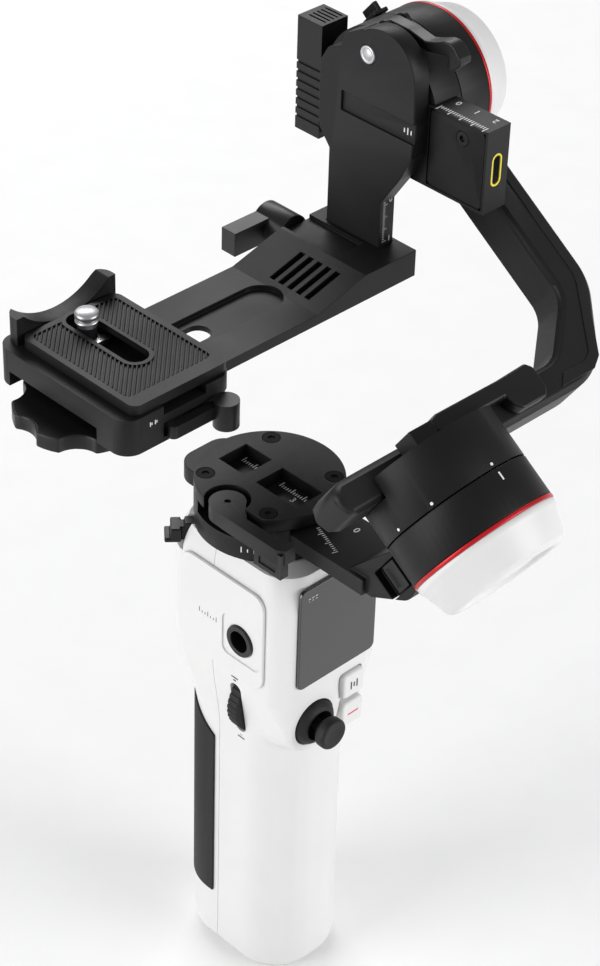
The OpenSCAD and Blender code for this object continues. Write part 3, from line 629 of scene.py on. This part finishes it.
def build_pan_marks():
    """Scales on the sliding bar, seen through the disc's windows and beside the bracket."""
    for name, x, y, count in (("front", 2.4, 13.4, 8), ("back", 2.0, -1.6, 12)):
        white_marks("pan_scale_" + name, scale_rects(count, 0.85, 1.0, 2.0, 5, 0.28), (x, y, STRIP_TOP_Z),
                    (0, -1, 0), (1, 0, 0), "pan_arm")
    white_number("pan_number_three", "3", (0.2, -8.6, STRIP_TOP_Z), (0, -1, 0), (1, 0, 0), 2.8, "pan_arm")
    rail = high("pan_clamp_block").y
    outer = -rail - 1.5
    white_marks("pan_scale_bar", scale_rects(14, 0.85, 0.9, 1.7, 5, 0.2), (-5.5, outer - 9.5, BAR_TOP_Z),
                (0.35, 1, 0), (-1, 0.35, 0), "pan_arm")
    white_number("pan_number_zero", "0", (4.4, outer - 6.4, BAR_TOP_Z), (0, -1, 0), (1, 0, 0), 3.0, "pan_arm")

    # Ticks round the pan block
    block_lo, block_hi = low("pan_clamp_block"), high("pan_clamp_block")
    radius = (block_hi.x - block_lo.x) / 2
    for i in range(11):
        t = math.radians(205 + i * 5)
        out = Vector((math.cos(t), math.sin(t), 0))
        along = Vector((-out.y, out.x, 0))
        tall = 1.8 if i % 5 == 0 else 1.0
        white_marks("pan_tick_%d" % i, [(0, 0, 0.25, tall)], out * radius + Vector((0, 0, block_lo.z + 3.2)),
                    along, (0, 0, 1), "pan_rotor")


# ---------------------------------------------------------------- roll axis

def motor_dots(name, origin, axis, across, up, along, angles, radius, body):
    for i, angle in enumerate(angles):
        t = math.radians(angle)
        out = across * math.cos(t) + up * math.sin(t)
        white_dot("%s_dot_%d" % (name, i), origin + axis * along + out * radius, out, 0.42, body)


def round_corner(before, corner, after, r, steps=10):
    """Points of an arc of radius r that replaces a corner of an outline."""
    corner = Vector(corner)
    u, v = (Vector(before) - corner).normalized(), (Vector(after) - corner).normalized()
    half = u.angle(v) / 2
    centre = corner + (u + v).normalized() * (r / math.sin(half))
    reach = r / math.tan(half)
    start, end = corner + u * reach - centre, corner + v * reach - centre
    a0, turn = math.atan2(start.y, start.x), end.angle_signed(start)
    return [(centre.x + r * math.cos(a0 + turn * i / steps), centre.y + r * math.sin(a0 + turn * i / steps))
            for i in range(steps + 1)]


def build_roll_arm():
    """Straight bar, diagonal corner and rising limb with broad edge chamfers."""
    left = low("roll_arm").x
    outer_a, inner_a = 20.7, 29.8
    outer_x, inner_x = 76.5, 64.4
    outline = [(left, inner_a - 2.4), (left, outer_a + 2.4), (left + 2.4, outer_a)]
    outline += round_corner((left, outer_a), (60.6, outer_a), (outer_x, 44), 18)
    outline += round_corner((60.6, outer_a), (outer_x, 44), (outer_x, 130), 18)
    outline += [(outer_x, 130), (inner_x, 130)]
    outline += round_corner((inner_x, 130), (inner_x, 43.6), (49.6, inner_a), 9)
    outline += round_corner((inner_x, 43.6), (49.6, inner_a), (left, inner_a), 9)
    outline += [(left + 2.4, inner_a)]

    def place(u, v, w):
        return roll_place(u, v, -10 + w)

    arm = prism("roll_arm_skin", outline, place, 14, 2.4, 1)
    apply_modifiers(arm)
    for r, x0, x1 in ((MOTOR_R + 0.03, 65.8, 96), (MOTOR_R + 0.13, 76, 96), (MOTOR_R + 0.5, 53, 65.9)):
        bore = [(0, 0), (r, 0), (r, x1 - x0), (0, x1 - x0)]
        cut(arm, lathe("arm_bore", bore, (x0, TILT.y, TILT.z), (1, 0, 0), 96))
    cut(arm, box("arm_top", (0, -30, 262), (120, 60, 320), 0))
    finish_piece(arm, "roll_arm", "black_metal", stands_for=("roll_arm",))


def build_cap(axis_name, origin, away, body):
    """Thin red ring and the dished white cap of a motor, turned about its axis."""
    ring = [(17.5, 0.03), (20.36, 0.03), (20.4, 0.15), (20.4, 0.8), (20.3, 0.95), (17.5, 0.95), (17.5, 0.03)]
    finish_piece(lathe(axis_name + "_ring_skin", ring, origin, away), body, "red_anodised",
                 stands_for=(axis_name + "_red_ring",))
    side = [(17.5, 0.97), (19.95, 0.97), (20.1, 1.15), (20.08, 2.3), (19.8, 2.9), (19.4, 3.5), (17.35, 9.9)]
    rim = [(16.85, 10.35), (16.2, 10.9), (15.5, 11.1), (14.0, 11.1), (13.4, 10.95), (13.0, 10.6)]
    dish = [(12.7, 10.0), (12.3, 9.75), (8.8, 9.75), (8.3, 9.85), (7.8, 10.25), (7.3, 10.38), (0, 10.38)]
    inside = [(0, 8.9), (15.2, 8.9), (17.4, 3.6), (17.5, 0.97)]
    piece = lathe(axis_name + "_cap_skin", side + rim + dish + inside, origin, away)
    finish_piece(piece, body, "white_shell", stands_for=(axis_name + "_motor_cap",))


def build_roll_motor():
    across = Vector((1, 0, 0))
    motor_dots("roll", ROLL_ORIGIN, ROLL_AXIS, across, ROLL_UP, 12.6, (91, 142, 176), MOTOR_R, "roll_rotor")
    white_marks("roll_dash", [(0, 0, 0.45, 2.2)], ROLL_ORIGIN + ROLL_AXIS * 9.0 + ROLL_UP * MOTOR_R,
                ROLL_UP.cross(ROLL_AXIS) * -1, ROLL_AXIS, "pan_arm")


def build_roll_lever():
    """Curved clamp lever with its thumb tab."""
    def place(u, v, w):
        return roll_place(u, v, 4.5 + w)

    blade = [(1.2, 27.6), (4, 26.4), (12, 27.2), (25.4, 27.0), (26.4, 24.0), (28.2, 22.0),
             (36.6, 22.0), (38.3, 24.0), (38.3, 30.2), (36.6, 32.0),
             (26, 31.6), (4, 31.8), (1.4, 31)]
    lever = prism("roll_lever_skin", blade, place, 4.0, 0.7)
    finish_piece(lever, "roll_lever", "black_lever", stands_for=("roll_clamp_lever",))


def build_arm_cover():
    """Inset cover strip along the outside of the arm."""
    outer_edge = [(46, 22.6), (58.6, 22.6), (62.4, 25.0), (73.4, 43.4), (74.6, 47.0), (74.6, 84)]
    inner_edge = [(71.6, 84), (71.6, 47.6), (70.6, 44.6), (60.2, 27.2), (57.6, 25.6), (49, 25.6)]

    def place(u, v, w):
        return roll_place(u, v, 3.95 + w)

    cover = prism("roll_arm_cover", outer_edge + inner_edge, place, 0.3, 0.12, 2)
    finish_piece(cover, "roll_arm", "black_lever")


# ---------------------------------------------------------------- tilt axis and camera stage

def build_tilt_motor():
    along, across, up = Vector((1, 0, 0)), Vector((0, 1, 0)), Vector((0, 0, 1))
    motor_dots("tilt", TILT, along, across, up, -2.6, (118,), MOTOR_R, "tilt_rotor")
    build_cap("tilt", (low("tilt_red_ring").x, TILT.y, TILT.z), along, "roll_arm")


def build_tilt_lever():
    """A tapered blade with a bent thumb tab, on its pin."""
    pivot = joint_place("tilt_lever_swing")

    def place(u, v, w):
        return Vector((57.8 + w, u, v))

    blade = [(20.4, 267.3), (20.7, 268.6), (20.2, 269.8), (19, 270.2), (12, 270), (6.4, 268.9), (3, 270),
             (0, 271.3), (-2, 271.5), (-3.6, 271), (-6.1, 268.3), (-6.2, 266.8), (-3.4, 263.6), (-2.4, 263.6),
             (-1.6, 264.8), (-1.9, 266.6), (-1, 267.5), (5.6, 266.2), (12, 267.1), (18, 266.9)]
    blade_piece = prism("tilt_lever_blade", blade, place, 4.3, 0.6)
    pin = [(0, 0), (0.85, 0), (1, 0.15), (1, 7.4), (0.85, 7.55), (0, 7.55)]
    pin_piece = lathe("tilt_lever_pin", pin, (56.12, pivot.y, pivot.z), (1, 0, 0), 32)
    lever = join("tilt_lever_skin", [blade_piece, pin_piece])
    finish_piece(lever, "tilt_lever", "black_lever", stands_for=("tilt_clamp_lever",))


def build_control_port():
    """Socket in the rail's end: a bright shell lip round a dark well with its tongue."""
    port_lo, port_hi = low("control_port"), high("control_port")
    mid = (port_lo + port_hi) / 2
    wide, tall = port_hi.x - port_lo.x, port_hi.z - port_lo.z

    def well(name, w, h, y0, y1, width=0.0):
        return face_prism(name, mid.x, mid.z, w, h, w / 2 - 0.01, y0, y1, width)

    lip = well("port_lip", wide, tall, port_lo.y, port_hi.y)
    cut(lip, well("hole", wide - 1.3, tall - 1.3, port_lo.y - 1, port_hi.y - 0.6))
    finish_piece(soften(lip, 0.12, 2, 40), "camera_rail", "gold_contact", stands_for=("control_port",))
    lining = well("port_lining", wide - 1.32, tall - 1.32, port_lo.y + 0.3, port_hi.y - 0.7)
    cut(lining, well("hole", wide - 1.6, tall - 1.6, port_lo.y, port_hi.y - 1.2))
    tongue = box("port_tongue", (mid.x - 0.33, port_lo.y + 1.1, mid.z - 3.2),
                 (mid.x + 0.33, port_hi.y - 1, mid.z + 3.2), 0.1, 2)
    finish_piece(join("port_well", [lining, tongue]), "camera_rail", "black_port")


def build_stage_marks():
    """Scales with their numerals on the rail and the stem, and the mark on the plate."""
    end = low("tilt_rail").y
    cover_margin = 0.9
    top = high("rail_cover").z + cover_margin
    white_marks("rail_scale", scale_rects(21, 0.8, 1.2, 2.3, 5, 0.28), (57.4, end + 1.8, top), (0, 1, 0),
                (-1, 0, 0), "camera_rail")
    for i, text in enumerate(("2", "1", "0")):
        corner = (61.6, end + 3.0 + i * 6.4, top)
        white_number("rail_number_" + text, text, corner, (0, 1, 0), (-1, 0, 0), 2.8, "camera_rail")

    edge_y = 11.6
    white_marks("stem_scale", scale_rects(17, 0.75, 0.8, 1.6, 5, 0.16), (51.2, edge_y, 209.5), (0, 0, 1),
                (1, 0, 0), "camera_rail")
    for text, z in (("1", 209.8), ("0", 221.8)):
        white_number("stem_number_" + text, text, (53.9, edge_y, z), (1, 0, 0), (0, 0, 1), 2.4, "camera_rail")

    plate = low("camera_plate")
    strip = [(0, 0, 0.35, 2.0), (1.2, 0, 0.35, 1.2), (-1.2, 0, 0.35, 1.2)]
    white_marks("plate_mark", strip, (plate.x + 0.8, 4.0, 246.4), (0, -1, 0), (0, 0, 1), "camera_rail")


def build_plate_pin():
    """The pin with its turned head."""
    pin_lo, pin_hi = low("plate_pin"), high("plate_pin")
    mid = (pin_lo + pin_hi) / 2
    head = [(0, 0.05), (1.5, 0.05), (1.6, -0.02), (1.75, -0.02), (1.85, 0.05), (2.4, 0.05), (2.55, -0.1),
            (2.55, -4.8), (0, -4.8)]
    finish_piece(lathe("plate_pin_skin", head, (pin_lo.x + 0.1, mid.y, mid.z), (-1, 0, 0), 64), "camera_rail",
                 "steel", SATIN_STEEL, stands_for=("plate_pin",))


def build_quick_plate():
    """Plate with a recessed ribbed pad and a rim round its slot."""
    lo, hi = low("qr_plate"), high("qr_plate")
    centre = (lo + hi) / 2
    width, depth = hi.x - lo.x, hi.y - lo.y
    side_margin, far_margin, near_margin = 1.8, 1.8, 4.4
    pad_w, pad_d = width - 2 * side_margin, depth - far_margin - near_margin
    pad_y = lo.y + near_margin + pad_d / 2
    slot_y = 21.7
    floor_z, face_z = hi.z - 0.55, hi.z - 0.03

    def flat(y, z):
        return lambda a, b, w: Vector((centre.x + a, y + b, z + w))

    body = prism("qr_plate_skin", round_outline(width, depth, 2.5), flat(centre.y, lo.z),
                 hi.z - lo.z - 0.1, 0)
    cut(body, prism("pad_pocket", round_outline(pad_w, pad_d, 1.8), flat(pad_y, floor_z), 2, 0))
    rim = prism("slot_rim", round_outline(9.4, 30.4, 4.65, 12), flat(slot_y, floor_z - 0.4),
                face_z - floor_z + 0.4, 0)
    cut(body, rim, "UNION")
    cut(body, prism("slot", round_outline(7, 28, 3.45, 12), flat(slot_y, lo.z - 1), 6, 0))
    cut(body, prism("under_slot", round_outline(10.8, 33, 5.35, 12), flat(slot_y, lo.z - 1), 2.2, 0))
    finish_piece(soften(body, 0.3, 3, 40), "quick_plate", "black_metal", stands_for=("qr_plate",))

    pitch, rib_w = 1.12, 0.66
    diagonal = math.hypot(pad_w, pad_d)
    u, v = Vector((1, 1, 0)).normalized(), Vector((1, -1, 0)).normalized()
    count = int(diagonal / pitch / 2) + 1
    bm = bmesh.new()
    for i in range(-count, count + 1):
        corners = []
        for z, w in ((floor_z - 0.1, rib_w), (face_z, rib_w * 0.55)):
            for du, dv in ((-1, -1), (1, -1), (1, 1), (-1, 1)):
                at = u * du * diagonal + v * (i * pitch + dv * w / 2)
                corners.append(bm.verts.new((centre.x + at.x, pad_y + at.y, z)))
        a, b = corners[:4], corners[4:]
        bm.faces.new(a[::-1])
        bm.faces.new(b)
        for k in range(4):
            n = (k + 1) % 4
            bm.faces.new((a[k], a[n], b[n], b[k]))
    ribs = from_bmesh("pad_ribs", bm, smooth=False)
    cut(ribs, prism("pad_outline", round_outline(pad_w - 0.3, pad_d - 0.3, 1.7),
                    flat(pad_y, floor_z - 0.3), 2, 0), "INTERSECT")
    cut(ribs, prism("slot_gap", round_outline(9.8, 30.8, 4.85, 12), flat(slot_y, floor_z - 1), 4, 0))
    finish_piece(ribs, "quick_plate", "black_rubber")


def build_camera_screw():
    """A rolled thread under a chamfered crown, on the plain neck that keeps the screw captive."""
    foot, top = low("camera_screw").z, high("camera_screw").z
    axis = joint_place("screw_turn")
    major, minor, thread_pitch = 3.175, 2.62, 1.27
    base = high("qr_plate").z
    steps = 40
    profile = [(0.0, minor), (0.2, minor), (0.5, major), (0.62, major), (0.92, minor)]
    bm = bmesh.new()
    rows = []
    for i in range(int((top - 1.3 - base) / thread_pitch * steps) + 1):
        angle = 2 * math.pi * i / steps
        row = []
        for t, r in profile:
            z = min(base + (i / steps + t) * thread_pitch, top - 1.0)
            row.append(bm.verts.new((axis.x + r * math.cos(angle), axis.y + r * math.sin(angle), z)))
        rows.append(row)
    for a, b in zip(rows, rows[1:]):
        for k in range(len(profile) - 1):
            bm.faces.new((a[k], b[k], b[k + 1], a[k + 1]))
    thread = from_bmesh("thread", bm)
    place = (axis.x, axis.y, 0)
    neck = [(0, foot), (4, foot), (4, foot + 0.7), (2.55, foot + 0.8), (2.55, base - 0.05), (0, base - 0.05)]
    finish_piece(lathe("camera_screw_neck", neck, place, (0, 0, 1), 72), "camera_bolt", "steel", SCREW_BLACK_AND_SHADE)
    core = [(0, base - 0.03), (2.55, base - 0.03), (minor + 0.02, base + 0.1), (minor + 0.02, top - 1.7),
            (major, top - 1.35), (major, top - 0.5), (major - 0.45, top), (0, top)]
    screw = join("camera_screw_skin", [thread, lathe("screw_core", core, place, (0, 0, 1), 72)])
    for p in screw.data.polygons:
        p.use_smooth = True
    finish_piece(screw, "camera_bolt", "steel", SATIN_STEEL, stands_for=("camera_screw",))


def build_clamp_marks():
    """Two small direction marks on the clamp's near side."""
    corner = low("qr_clamp")
    for i in range(2):
        white_marks("slide_mark_%d" % i, [(0, 0.45, 0.25, 1.3), (0.5, 0.45, 0.25, 0.7)],
                    (corner.x + 8 + i * 1.6, corner.y, 206.2), (1, 0, 0), (0, 0, 1), "quick_clamp")


def build_wheel_knurl():
    """Knurled rim under the clamp wheel."""
    wheel_lo = low("clamp_wheel")
    spin = joint_place("clamp_knob_turn")
    teeth, outer, inner = 72, 9.55, 9.25
    outline = []
    for i in range(teeth * 2):
        r = outer if i % 2 == 0 else inner
        t = math.pi * i / teeth
        outline.append((r * math.cos(t), r * math.sin(t)))

    def place(u, v, w):
        return Vector((spin.x + u, spin.y + v, wheel_lo.z + 0.6 + w))

    rim = prism("wheel_knurl", outline, place, 3.6, 0)
    for p in rim.data.polygons:
        p.use_smooth = False
    finish_piece(rim, "clamp_knob", "black_lever")


# ---------------------------------------------------------------- studio

def area_light(name, place, aim, size, power):
    data = bpy.data.lights.new(name, "AREA")
    data.shape = "RECTANGLE"
    data.size, data.size_y = size
    data.energy = power
    obj = bpy.data.objects.new(name, data)
    bpy.context.scene.collection.objects.link(obj)
    obj.location = place
    obj.rotation_euler = (Vector(aim) - Vector(place)).to_track_quat("-Z", "Y").to_euler()


def build_studio():
    world = bpy.data.worlds.new("studio")
    bpy.context.scene.world = world
    world.use_nodes = True
    world.node_tree.nodes["Background"].inputs["Color"].default_value = (0.95, 0.95, 0.96, 1)
    world.node_tree.nodes["Background"].inputs["Strength"].default_value = 0.42
    bpy.context.scene.view_settings.view_transform = "Standard"
    floor_mesh = bpy.data.meshes.new("floor")
    reach = 6.0
    corners = [(-reach, -reach, 0), (reach, -reach, 0), (reach, reach, 0), (-reach, reach, 0)]
    floor_mesh.from_pydata(corners, [], [(0, 1, 2, 3)])
    floor = new_object("floor", floor_mesh)
    paint(floor, shader("floor_paint", (0.95, 0.95, 0.95), 0.85, vary=0.01, bump=0.0, grain=200))
    middle = (0.01, -0.02, 0.18)
    area_light("left", (-1.05, 0.35, 0.45), middle, (0.7, 0.9), 9)
    area_light("right", (0.45, -1.1, 0.40), middle, (0.7, 0.8), 9)
    area_light("rim", (0.55, 0.85, 0.9), middle, (0.9, 0.5), 7)


def build_camera():
    right = Vector((0.71571727, -0.69789601, 0.0262669))
    up = Vector((0.39776848, 0.43826305, 0.80604326))
    forward = Vector((0.57404618, 0.56645094, -0.59127347))
    data = bpy.data.cameras.new("camera")
    data.sensor_fit = "AUTO"
    data.sensor_width = 36
    data.lens = 101.07
    camera = bpy.data.objects.new("camera", data)
    bpy.context.scene.collection.objects.link(camera)
    matrix = Matrix((right, up, -forward)).transposed().to_4x4()
    matrix.translation = Vector((-0.40644, -0.41228, 0.58598))
    camera.matrix_world = matrix
    bpy.context.scene.camera = camera


build_camera()
build_studio()
dress_cad_nodes()
build_controls(build_handle())
build_pan_lever()
build_pan_marks()
build_roll_motor()
build_roll_lever()
build_roll_arm()
build_cap("roll", ROLL_ORIGIN, -ROLL_AXIS, "pan_arm")
build_arm_cover()
build_tilt_motor()
build_tilt_lever()
build_control_port()
build_stage_marks()
build_plate_pin()
build_quick_plate()
build_camera_screw()
build_clamp_marks()
build_wheel_knurl()

bpy.context.view_layer.update()
